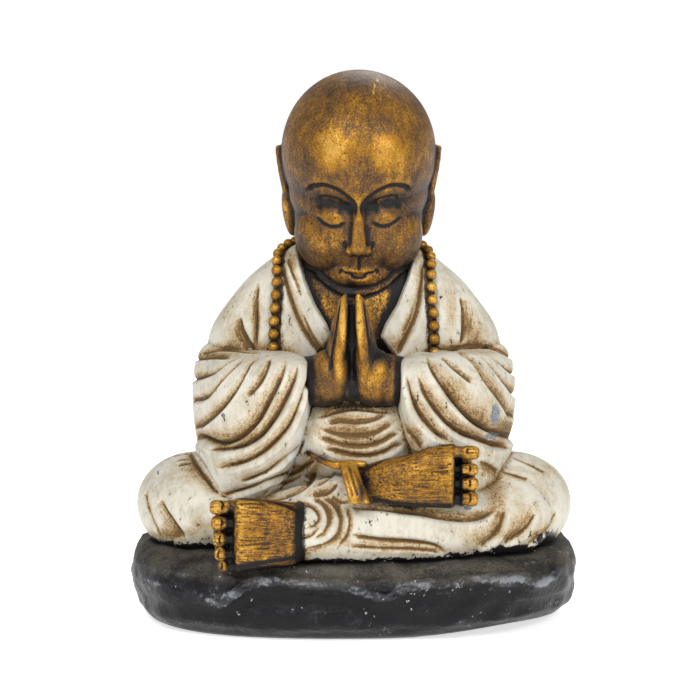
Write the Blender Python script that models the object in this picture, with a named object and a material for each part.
# A praying monk, cast in one piece with the rock that it sits on.
# Metres, +Z up, the face looks along -Y, and the origin is the middle of the rock's underside.

import math

import bmesh
import bpy
import numpy as np
from mathutils import Matrix, Vector, geometry, noise
from mathutils.bvhtree import BVHTree

# Driving dimensions
FIGURE_HEIGHT = 0.258  # from the rock's top to the crown of the head
ROCK_WIDTH = 0.247
ROCK_DEPTH = 0.180
ROCK_HEIGHT = 0.044
FRONT_SHIFT = 0.0010  # the robe's opening and the hands sit this far to the right
BEAD_DIAMETER = 0.0058
BEAD_PITCH = 0.0071

# The figure's own unit: places and sizes on the figure are in 1/252 of its height,
# about a millimetre on the real one, with z counted from the rock's top.
UNIT = FIGURE_HEIGHT / 252

VOXEL = 1.7 * UNIT  # cell of the mesh that fuses the forms, before it is thinned
TRIANGLES = 9300


def place(x, y, z):
    return Vector((x, y, z)) * UNIT + Vector((0, 0, ROCK_HEIGHT))


def front_place(x, y, z):
    """A place that goes with the hands and the robe's opening, a little to the right."""
    return place(x, y, z) + Vector((FRONT_SHIFT, 0, 0))


def size(*lengths):
    return [length * UNIT for length in lengths]


# Basic forms, each a closed shell added to a bmesh


def ball(bm, centre, radii, turn=Matrix.Identity(4)):
    matrix = Matrix.Translation(centre) @ turn @ Matrix.Diagonal((*radii, 1))
    detail = 4 if max(radii) > 20 * UNIT else 3
    bmesh.ops.create_icosphere(bm, subdivisions=detail, radius=1, matrix=matrix)


def limb(bm, joints):
    """A round limb through (point, radius) joints: a ball at each and a cone between two."""
    for point, radius in joints:
        ball(bm, point, (radius, radius, radius))
    for (start, thick), (end, thin) in zip(joints, joints[1:]):
        along = end - start
        turn = along.to_track_quat("Z", "Y").to_matrix().to_4x4()
        bmesh.ops.create_cone(
            bm,
            cap_ends=True,
            segments=32,
            radius1=thick,
            radius2=thin,
            depth=along.length,
            matrix=Matrix.Translation((start + end) / 2) @ turn,
        )


def loft(bm, rings, squareness=2.0, segments=64):
    """A skin through rings of (centre, half axis, other half axis), closed at both ends.
    A squareness of 2 makes ellipses, and more makes them squarer."""
    loops = []
    for number, (centre, across, along) in enumerate(rings):
        closed = number in (0, len(rings) - 1)
        made = bmesh.ops.create_circle(bm, cap_ends=closed, segments=segments, radius=1)
        for vert in made["verts"]:
            angle = math.atan2(vert.co.y, vert.co.x)
            flat = [
                math.copysign(abs(part) ** (2 / squareness), part)
                for part in (math.cos(angle), math.sin(angle))
            ]
            vert.co = centre + across * flat[0] + along * flat[1]
        loops.append(list({edge for vert in made["verts"] for edge in vert.link_edges}))
    for lower, upper in zip(loops, loops[1:]):
        bmesh.ops.bridge_loops(bm, edges=lower + upper)
    skin = {face for loop in loops for edge in loop for face in edge.link_faces}
    bmesh.ops.recalc_face_normals(bm, faces=list(skin))


def smooth_line(points, steps=12):
    """Points along a smooth curve through the given ones."""
    points = [Vector(p) for p in points]
    ends = [2 * points[0] - points[1], *points, 2 * points[-1] - points[-2]]
    line = []
    for before, start, end, after in zip(ends, ends[1:], ends[2:], ends[3:]):
        reach = (end - start).length / 3
        out = start + (end - before).normalized() * reach
        back = end - (after - start).normalized() * reach
        line += geometry.interpolate_bezier(start, out, back, end, steps)[:-1]
    return [*line, points[-1]]


# Meshes as arrays of points, for fusing, carving and smoothing


def new_object(name, bm):
    mesh = bpy.data.meshes.new(name)
    bm.to_mesh(mesh)
    bm.free()
    obj = bpy.data.objects.new(name, mesh)
    bpy.context.scene.collection.objects.link(obj)
    return obj


def applied(obj):
    """The object with its modifiers applied."""
    bpy.context.view_layer.update()
    graph = bpy.context.evaluated_depsgraph_get()
    mesh = bpy.data.meshes.new_from_object(obj.evaluated_get(graph))
    obj.modifiers.clear()
    obj.data = mesh
    return obj


def fused(name, make, voxel=VOXEL):
    """One skin round all the overlapping forms that make() adds."""
    bm = bmesh.new()
    make(bm)
    obj = new_object(name, bm)
    remesh = obj.modifiers.new("fuse", "REMESH")
    remesh.mode = "VOXEL"
    remesh.voxel_size = voxel
    return applied(obj)


def points_of(obj):
    points = np.empty(len(obj.data.vertices) * 3)
    obj.data.vertices.foreach_get("co", points)
    return points.reshape(-1, 3)


def normals_of(obj):
    normals = np.empty(len(obj.data.vertices) * 3)
    obj.data.vertices.foreach_get("normal", normals)
    return normals.reshape(-1, 3)


def set_points(obj, points):
    obj.data.vertices.foreach_set("co", points.astype(np.float32).ravel())
    obj.data.update()


def smoothed(obj, rounds, amount=0.5):
    edges = np.empty(len(obj.data.edges) * 2, np.int64)
    obj.data.edges.foreach_get("vertices", edges)
    first, second = edges.reshape(-1, 2).T
    points = points_of(obj)
    count = len(points)
    near = np.bincount(np.r_[first, second], minlength=count)[:, None]
    for _ in range(rounds):
        total = np.stack(
            [
                np.bincount(
                    np.r_[first, second],
                    weights=np.r_[points[second, axis], points[first, axis]],
                    minlength=count,
                )
                for axis in range(3)
            ],
            axis=1,
        )
        points += amount * (total / near - points)
    set_points(obj, points)


def step(low, high, value):
    """0 below low, 1 above high, smooth between."""
    share = np.clip((value - low) / (high - low), 0, 1)
    return share * share * (3 - 2 * share)


def carve(obj, grooves):
    """Sinks each groove, (points, width, depth), into the skin: steep on the side to the
    right of its run as seen from outside, gentle on the other, and shallow at its ends."""
    tree = BVHTree.FromPolygons(
        [v.co for v in obj.data.vertices], [p.vertices for p in obj.data.polygons]
    )
    points, normals = points_of(obj), normals_of(obj)
    sink = np.zeros(len(points))
    for line, width, depth in grooves:
        spots = [tree.find_nearest(p)[0] for p in smooth_line(line, 8)]
        spots = np.array(spots)
        reach = 3 * width
        low, high = spots.min(0) - reach, spots.max(0) + reach
        near = np.flatnonzero(((points > low) & (points < high)).all(1))
        best = np.full(len(near), np.inf)
        side = np.zeros(len(near))
        share = np.zeros(len(near))
        lengths = np.r_[0, np.cumsum(np.linalg.norm(np.diff(spots, axis=0), axis=1))]
        for k, (start, end) in enumerate(zip(spots, spots[1:])):
            along = end - start
            length = max(np.linalg.norm(along), 1e-9)
            t = np.clip((points[near] - start) @ along / length**2, 0, 1)
            off = points[near] - start - t[:, None] * along
            far = np.linalg.norm(off, axis=1)
            closer = far < best
            best[closer] = far[closer]
            turned = np.cross(along / length, normals[near][closer])
            side[closer] = (turned * off[closer]).sum(1)
            share[closer] = (lengths[k] + t[closer] * length) / lengths[-1]
        wide = np.where(side > 0, 0.55, 1.3) * width
        ends = step(-0.06, 0.1, share) * step(-0.06, 0.1, 1 - share)
        cut = depth * ends * np.exp(-((best / wide) ** 2))
        sink[near] = np.maximum(sink[near], cut)
    set_points(obj, points - normals * sink[:, None])


# The rock: a flat-bottomed boulder with a level top


def rock_forms(bm):
    # height, and how far in from its ends and from its front and back, as shares of its height
    profile = [
        (0.0, 0.42, 0.42),
        (0.06, 0.26, 0.26),
        (0.2, 0.1, 0.1),
        (0.42, 0.01, 0.01),
        (0.64, 0.0, 0.0),
        (0.8, 0.02, 0.06),
        (0.92, 0.1, 0.22),
        (1.0, 0.3, 0.5),
    ]
    rings = []
    for high, end_inset, front_inset in profile:
        half_width = ROCK_WIDTH / 2 - end_inset * ROCK_HEIGHT
        half_depth = ROCK_DEPTH / 2 - front_inset * ROCK_HEIGHT
        rings.append(
            (
                Vector((0, 0, high * ROCK_HEIGHT)),
                Vector((half_width, 0, 0)),
                Vector((0, half_depth, 0)),
            )
        )
    loft(bm, rings, squareness=2.7, segments=96)


def weather_rock(obj):
    """A broken edge round the top, a shallow hollow under it, swellings, and one corner worn off."""
    points, normals = points_of(obj), normals_of(obj)
    high = points[:, 2] / ROCK_HEIGHT
    angle = np.arctan2(points[:, 1] / ROCK_DEPTH, points[:, 0] / ROCK_WIDTH)
    edge = 0.66 + 0.05 * np.sin(3 * angle + 0.6) + 0.035 * np.sin(7 * angle + 2.0)
    ridge = np.exp(-(((high - edge) / 0.07) ** 2))
    hollow = np.exp(-(((high - edge + 0.24) / 0.13) ** 2))
    notch = np.exp(-(((angle + 1.42) / 0.09) ** 2))  # a bite out of the front edge
    swell = np.array([noise.noise(Vector(p) / (0.8 * ROCK_HEIGHT)) for p in points])
    rise = 0.03 * ridge - 0.05 * hollow - 0.05 * notch * ridge + 0.06 * swell
    side = step(0.05, 0.35, high) * (1 - step(0.7, 0.95, normals[:, 2]))
    corner = np.exp(-(((angle + 0.70) / 0.44) ** 2)) * (1 - step(0.0, 0.7, high))
    rise = rise * side - 0.11 * corner
    set_points(obj, points + normals * (rise * ROCK_HEIGHT)[:, None])


# The robe: body, sleeves, belly and crossed legs

BODY = [  # height, half width, half depth, middle's y
    (-4, 74, 58, 8),
    (20, 77, 57, 8),
    (46, 79, 53, 9),
    (66, 80, 50, 9),
    (86, 81, 46, 8),
    (100, 80, 43, 7),
    (114, 76.5, 40, 5),
    (128, 67, 37, 3),
    (140, 57, 34, 1),
    (150, 45, 30, -1),
    (157, 34, 25, -2),
    (160, 24, 19, -3),
]

SLEEVE_LEAN = 3  # how far the outermost ring of a sleeve leans out at its top
SLEEVE = [  # x, y, turn out of the front in degrees, half depth, bottom, top of each upright ring
    (78, 10, 26, 9, 36, 103),
    (71, 4, 36, 22, 20, 107),
    (63, -8, 52, 32, 12, 107),
    (56, -19, 62, 38, 13, 107),
    (48, -30, 70, 37, 21, 107),
    (41, -38, 76, 33, 31, 107),
    (34, -46, 80, 26, 44, 106),
    (27, -52, 83, 20, 60, 105),
    (23, -55, 85, 14, 75, 103),
]


def robe_forms(bm):
    loft(
        bm,
        [
            (place(0, y, z), Vector((wide * UNIT, 0, 0)), Vector((0, deep * UNIT, 0)))
            for z, wide, deep, y in BODY
        ],
        squareness=2.2,
    )
    for side in (-1, 1):
        rings = []
        for x, y, turned, deep, low, high in SLEEVE:
            angle = math.radians(turned)
            across = Vector((side * math.cos(angle), -math.sin(angle), 0))
            lean = SLEEVE_LEAN * (x - 23) / 55
            upright = Vector((side * lean, 0, (high - low) / 2))
            middle = place(side * (x - lean), y, (low + high) / 2)
            rings.append((middle, across * deep * UNIT, upright * UNIT))
        loft(bm, rings, squareness=3.0)
        # the knee, and the thigh that runs back to the hip
        turn = Matrix.Rotation(math.radians(-20 * side), 4, "Z")
        ball(bm, place(side * 83, -12, 19), size(33, 43, 28), turn)
        ball(bm, place(side * 60, 18, 18), size(44, 48, 28), turn)
    # belly and lap
    ball(bm, place(3, -28, 60), size(44, 36, 30))
    ball(bm, place(0, -24, 10), size(88, 46, 26))
    # the shin in front, from the knee on +X to the ankle on -X
    limb(
        bm,
        [
            (place(84, -40, 17), 20 * UNIT),
            (place(40, -56, 14), 19 * UNIT),
            (place(0, -62, 13), 17 * UNIT),
            (place(-28, -66, 13), 15 * UNIT),
        ],
    )
    # the other shin, which runs over it from the knee on -X
    limb(
        bm,
        [
            (place(-84, -34, 19), 18 * UNIT),
            (place(-44, -50, 16), 14 * UNIT),
            (place(-8, -60, 31), 11 * UNIT),
        ],
    )


NECK_OPENING = [  # height, half width
    (96, 26),
    (104, 18),
    (111, 13),
    (118, 15.5),
    (128, 21.5),
    (141, 27),
    (154, 30.5),
    (164, 35),
]
OPENING_DEPTH = 12


def cut_neck_opening(obj):
    """Sinks the robe between its two front edges, so that the chest shows there."""
    points = points_of(obj)
    x = (points[:, 0] - FRONT_SHIFT) / UNIT
    z = (points[:, 2] - ROCK_HEIGHT) / UNIT
    heights, halves = zip(*NECK_OPENING)
    inside = step(-1.2, 1.2, np.interp(z, heights, halves) - np.abs(x))
    front = step(-4, 4, -points[:, 1] / UNIT - 12) * step(-3, 3, z - 100)
    points[:, 1] += OPENING_DEPTH * UNIT * inside * front
    set_points(obj, points)


def sleeve_folds(side):
    """Grooves that hang in quarter rounds about the sleeve's outer top corner."""
    corner_x, corner_z = 88, 108
    for number, reach in enumerate((15, 25, 35, 44, 52, 60)):
        line = []
        for degrees in (-2, 20, 42, 64, 84):
            angle = math.radians(degrees)
            x = corner_x - 1.08 * reach * math.cos(angle)
            z = corner_z - 1.05 * reach * math.sin(angle)
            line.append(place(side * x, -78 + 0.6 * (x - 30), z))
        yield line[::-side], (3.4 + 0.2 * number) * UNIT, (3.8 + 0.4 * number) * UNIT


def leg_folds(side):
    """Grooves that run up from the rock's edge round a knee, and two under the sleeve's tip."""
    for number in range(4):
        x = 112 - 15 * number
        line = [
            place(side * x, -60, 24 + 2 * number),
            place(side * (x - 6), -80, 10),
            place(side * (x - 15), -80, 1),
        ]
        yield line[::side], 3.6 * UNIT, 4.0 * UNIT
    for number in range(2):
        line = [
            place(side * (84 + 3 * number), -50, 48 - 8 * number),
            place(side * 104, -40, 40 - 8 * number),
        ]
        yield line[::side], 2.6 * UNIT, 1.8 * UNIT


def back_folds():
    """Long shallow grooves that hang in arcs across the back, and folds over the hips."""
    for number in range(4):
        half, low = 46 + 5 * number, 116 - 24 * number
        line = [place(-half, 60, low + 20), place(0, 80, low), place(half, 60, low + 20)]
        yield line, 6.0 * UNIT, 4.0 * UNIT
    for side in (-1, 1):
        for number in range(3):
            line = [
                place(side * (94 - 16 * number), 60, 34 - 4 * number),
                place(side * (70 - 18 * number), 90, 8),
            ]
            yield line[::-side], 5.0 * UNIT, 4.0 * UNIT


def robe_folds():
    for side in (-1, 1):
        yield from sleeve_folds(side)
        yield from leg_folds(side)
        # where the sleeve meets the upper arm
        line = [place(side * 46, -50, 105), place(side * 66, -40, 107), place(side * 86, -10, 98)]
        yield line[::side], 4.0 * UNIT, 4.0 * UNIT
        # down the chest beside the front edge, and beside the beads
        line = [
            place(side * 38 + 1, -40, 146),
            place(side * 34 + 1, -48, 128),
            place(side * 25 + 1, -54, 110),
        ]
        yield line[::-side], 2.6 * UNIT, 2.2 * UNIT
        line = [place(side * 61, -40, 132), place(side * 58, -46, 118), place(side * 55, -50, 109)]
        yield line[::-side], 3.6 * UNIT, 2.8 * UNIT
    yield from back_folds()
    # hanging arcs on the belly
    for number in range(4):
        half, low = 24 + 4 * number, 82 - 9 * number
        line = [
            place(4 - half, -70, low + 8),
            place(4, -80, low - 6),
            place(4 + half, -70, low + 8),
        ]
        yield line, 2.8 * UNIT, 2.2 * UNIT
    # along the shin in front, above its hem
    yield [place(-4, -90, 12), place(22, -90, 8), place(50, -90, 5)], 3.0 * UNIT, 2.6 * UNIT


# Skin: neck and chest, head, hands and feet


def chest_forms(bm):
    ball(bm, place(2, -4, 122), size(46, 25.5, 44))
    limb(bm, [(place(2, 2, 130), 28 * UNIT), (place(4, -4, 172), 25 * UNIT)])


HEAD_CENTRE = (2.4, -10, 189)
HEAD_NOD = 18  # degrees, chin towards the chest

head_turn = Matrix.Rotation(math.radians(HEAD_NOD), 4, "X")


def on_head(x, y, z):
    """A place in the head's own frame: z runs from -62 at the chin to 62 at the crown."""
    return place(*HEAD_CENTRE) + head_turn @ (Vector((x, y, z)) * UNIT)


def head_forms(bm):
    ball(bm, on_head(0, 4, 19), size(42, 47, 43), head_turn)
    ball(bm, on_head(0, -9, -13), size(34, 34, 40), head_turn)
    ball(bm, on_head(0, -13, -35), size(27, 27, 27), head_turn)
    ball(bm, on_head(0, -32, -51), size(11, 9, 9), head_turn)
    limb(
        bm,
        [
            (on_head(0, -41, 8), 3.2 * UNIT),
            (on_head(0, -46, -9), 4.0 * UNIT),
            (on_head(0, -49, -19), 4.8 * UNIT),
        ],
    )
    for side in (-1, 1):
        ball(bm, on_head(side * 15, -30, -19), size(13, 11, 15), head_turn)
        ball(bm, on_head(side * 5.6, -45, -21), size(3.6, 4, 3.6), head_turn)
        ball(bm, on_head(side * 15, -34, -1), size(10.5, 6.5, 7), head_turn)
        brow = [(3.5, -41.5, 6), (10, -42, 12.5), (20, -38.5, 15), (29, -31.5, 11)]
        limb(bm, [(on_head(side * x, y, z), 2.4 * UNIT) for x, y, z in brow])
        ball(bm, on_head(side * 3.4, -40.5, -34.5), size(6, 3.6, 2.4), head_turn)
        # ear and its long lobe
        lean = head_turn @ Matrix.Rotation(math.radians(9 * side), 4, "Y")
        ball(bm, on_head(side * 40.5, 8, 5), size(3.4, 10.5, 19), lean)
        ball(bm, on_head(side * 38, 4, -16), size(3.4, 7, 13.5), lean)
    ball(bm, on_head(0, -39.5, -39), size(7.5, 3.6, 2.8), head_turn)


FINGERS = [(-71, 127, 3.0), (-65.5, 134.5, 3.3), (-59.5, 138, 3.4), (-53.5, 134.5, 3.3)]


def hand_forms(bm):
    for side in (-1, 1):
        ball(bm, front_place(side * 6.3, -61, 97), size(6.6, 14, 20))
        for y, tip, radius in FINGERS:
            limb(
                bm,
                [
                    (front_place(side * 6, y + 1, 101), radius * 1.25 * UNIT),
                    (front_place(side * 4.8, y, 119), radius * 1.1 * UNIT),
                    (front_place(side * 3.2, y, tip - radius), radius * 0.85 * UNIT),
                ],
            )
        limb(
            bm,
            [
                (front_place(side * 7, -49, 95), 4.4 * UNIT),
                (front_place(side * 4.6, -44, 118), 3.4 * UNIT),
            ],
        )
        # heel of the hand and forearm
        limb(
            bm,
            [
                (front_place(side * 8.5, -62, 89), 9 * UNIT),
                (place(side * 18, -55, 90), 11 * UNIT),
                (place(side * 34, -44, 88), 11 * UNIT),
            ],
        )


LOW_TOES = [  # height, radius and tip of each toe of the lower foot
    (28.8, 4.2, -73.8),
    (20.3, 3.8, -73.0),
    (11.9, 3.6, -72.2),
    (4.2, 3.4, -71.4),
    (-2.0, 2.8, -69.8),
]
HIGH_TOES = [(55.4, 4.0, 64.8), (47.2, 3.6, 64.4), (39.6, 3.6, 64.4), (32.0, 3.7, 64.2)]


def feet_forms(bm):
    # the lower foot lies on the rock, its toes towards -X
    loft(
        bm,
        [
            (place(-22, -66, 14), Vector((0, 8, 2)) * UNIT, Vector((0, 0, 10.5)) * UNIT),
            (place(-27, -71, 14), Vector((0, 10, 2)) * UNIT, Vector((0, 0, 14)) * UNIT),
            (place(-33, -75, 14), Vector((0, 10.5, 2)) * UNIT, Vector((0, 0, 16)) * UNIT),
            (place(-47, -78, 14.5), Vector((0, 10, 1)) * UNIT, Vector((0, 0, 17.5)) * UNIT),
            (place(-62, -79, 14), Vector((0, 7, 1)) * UNIT, Vector((0, 0, 19)) * UNIT),
        ],
        squareness=2.6,
    )
    for z, radius, tip in LOW_TOES:
        limb(
            bm,
            [
                (place(-57, -78, z * 0.93 + 1), radius * 0.75 * UNIT),
                (place(tip + radius, -81, z), radius * UNIT),
            ],
        )
    # the upper foot lies on the shin, its toes towards +X
    loft(
        bm,
        [
            (place(2, -63, 38), Vector((0, 7, 0)) * UNIT, Vector((0, 0, 8)) * UNIT),
            (place(14, -69, 40), Vector((0, 9, 0)) * UNIT, Vector((0, 0, 11)) * UNIT),
            (place(28, -72, 41), Vector((0, 9.5, 0)) * UNIT, Vector((0, 0, 13.5)) * UNIT),
            (place(40, -73.5, 42.5), Vector((0, 9, 0)) * UNIT, Vector((0, 0, 16)) * UNIT),
            (place(52, -74, 43), Vector((0, 7, 0)) * UNIT, Vector((0, 0, 18)) * UNIT),
        ],
        squareness=2.5,
    )
    for z, radius, tip in HIGH_TOES:
        limb(
            bm,
            [
                (place(48, -73, z * 0.95 + 2), radius * 0.75 * UNIT),
                (place(tip - radius, -76, z), radius * UNIT),
            ],
        )


def sash_forms(bm):
    """The end of the sash, which hangs over the shins, and the knot that it comes from."""
    loft(
        bm,
        [
            (place(-3.5, -66, 52), Vector((4.2, 0, 0)) * UNIT, Vector((0, 3, 0)) * UNIT),
            (place(-0.5, -73, 44), Vector((4.6, 0, 0)) * UNIT, Vector((0, 3.4, 0)) * UNIT),
            (place(3.5, -80, 30), Vector((5.4, 0, 0)) * UNIT, Vector((0, 3, 0)) * UNIT),
        ],
        squareness=3.0,
    )
    limb(
        bm,
        [
            (place(-24, -58, 56), 2.2 * UNIT),
            (place(-8, -66, 51), 2.6 * UNIT),
            (place(8, -66, 50), 2.2 * UNIT),
        ],
    )


BEAD_LINE = [  # one side of the string, from the sleeve over the shoulder to the nape
    (45.8, -44, 104),
    (46, -42, 124),
    (46, -37, 142),
    (45.2, -26, 152.5),
    (41, -10, 156.5),
    (33.5, 2, 158),
    (22, 18, 158.5),
    (0, 28, 157),
]


def bead_string(robe):
    """Places of the beads, a pitch apart on the robe, from one sleeve round the neck to the other."""
    half = [place(x, y, z) for x, y, z in BEAD_LINE]
    other = [place(-x, y, z) for x, y, z in BEAD_LINE]
    tree = BVHTree.FromPolygons(
        [v.co for v in robe.data.vertices], [p.vertices for p in robe.data.polygons]
    )
    line = []
    for point in smooth_line(half + other[-2::-1], 24):
        spot, normal = tree.find_nearest(point)[:2]
        line.append(spot + normal * BEAD_DIAMETER * 0.3)
    beads, left = [], 0.0
    for start, end in zip(line, line[1:]):
        length = (end - start).length
        while left < length:
            beads.append(start.lerp(end, left / length))
            left += BEAD_PITCH
        left -= length
    return beads


def build():
    robe = fused("robe", robe_forms)
    smoothed(robe, 4)
    cut_neck_opening(robe)
    carve(robe, robe_folds())
    smoothed(robe, 1)
    beads = bead_string(robe)

    rock = fused("rock", rock_forms)
    weather_rock(rock)

    def all_forms(bm):
        for forms in (chest_forms, head_forms, hand_forms, feet_forms, sash_forms):
            forms(bm)
        for centre in beads:
            ball(bm, centre, [BEAD_DIAMETER / 2] * 3)
        bm.from_mesh(robe.data)
        bm.from_mesh(rock.data)

    figurine = fused("monk_figurine", all_forms)
    for helper in (robe, rock):
        bpy.data.objects.remove(helper)
    smoothed(figurine, 1)

    thin = figurine.modifiers.new("thin", "DECIMATE")
    thin.ratio = TRIANGLES / sum(len(p.vertices) - 2 for p in figurine.data.polygons)
    applied(figurine)
    flatten_underside(figurine)
    return figurine


def flatten_underside(obj):
    """Cuts the underside off flat, closes it, and puts the middle of the whole at the origin."""
    bm = bmesh.new()
    bm.from_mesh(obj.data)
    cut = 0.02 * ROCK_HEIGHT
    everything = bm.verts[:] + bm.edges[:] + bm.faces[:]
    bmesh.ops.bisect_plane(
        bm, geom=everything, plane_co=(0, 0, cut), plane_no=(0, 0, 1), clear_inner=True
    )
    bmesh.ops.holes_fill(bm, edges=[e for e in bm.edges if e.is_boundary])
    low = [min(v.co[axis] for v in bm.verts) for axis in range(3)]
    high = [max(v.co[axis] for v in bm.verts) for axis in range(3)]
    middle = Vector(((low[0] + high[0]) / 2, (low[1] + high[1]) / 2, low[2]))
    bmesh.ops.translate(bm, vec=-middle, verts=bm.verts)
    bmesh.ops.triangulate(bm, faces=bm.faces)
    bm.to_mesh(obj.data)
    bm.free()


def painted_cast():
    material = bpy.data.materials.new("painted_cast")
    material.use_nodes = True
    shader = material.node_tree.nodes["Principled BSDF"]
    shader.inputs["Base Color"].default_value = (0.62, 0.55, 0.43, 1)
    shader.inputs["Roughness"].default_value = 0.5
    shader.inputs["Metallic"].default_value = 0.0
    return material


for left_over in list(bpy.data.objects):
    bpy.data.objects.remove(left_over)

monk = build()
monk.data.materials.append(painted_cast())
monk.data.shade_smooth()
monk.data.set_sharp_from_angle(angle=math.radians(40))
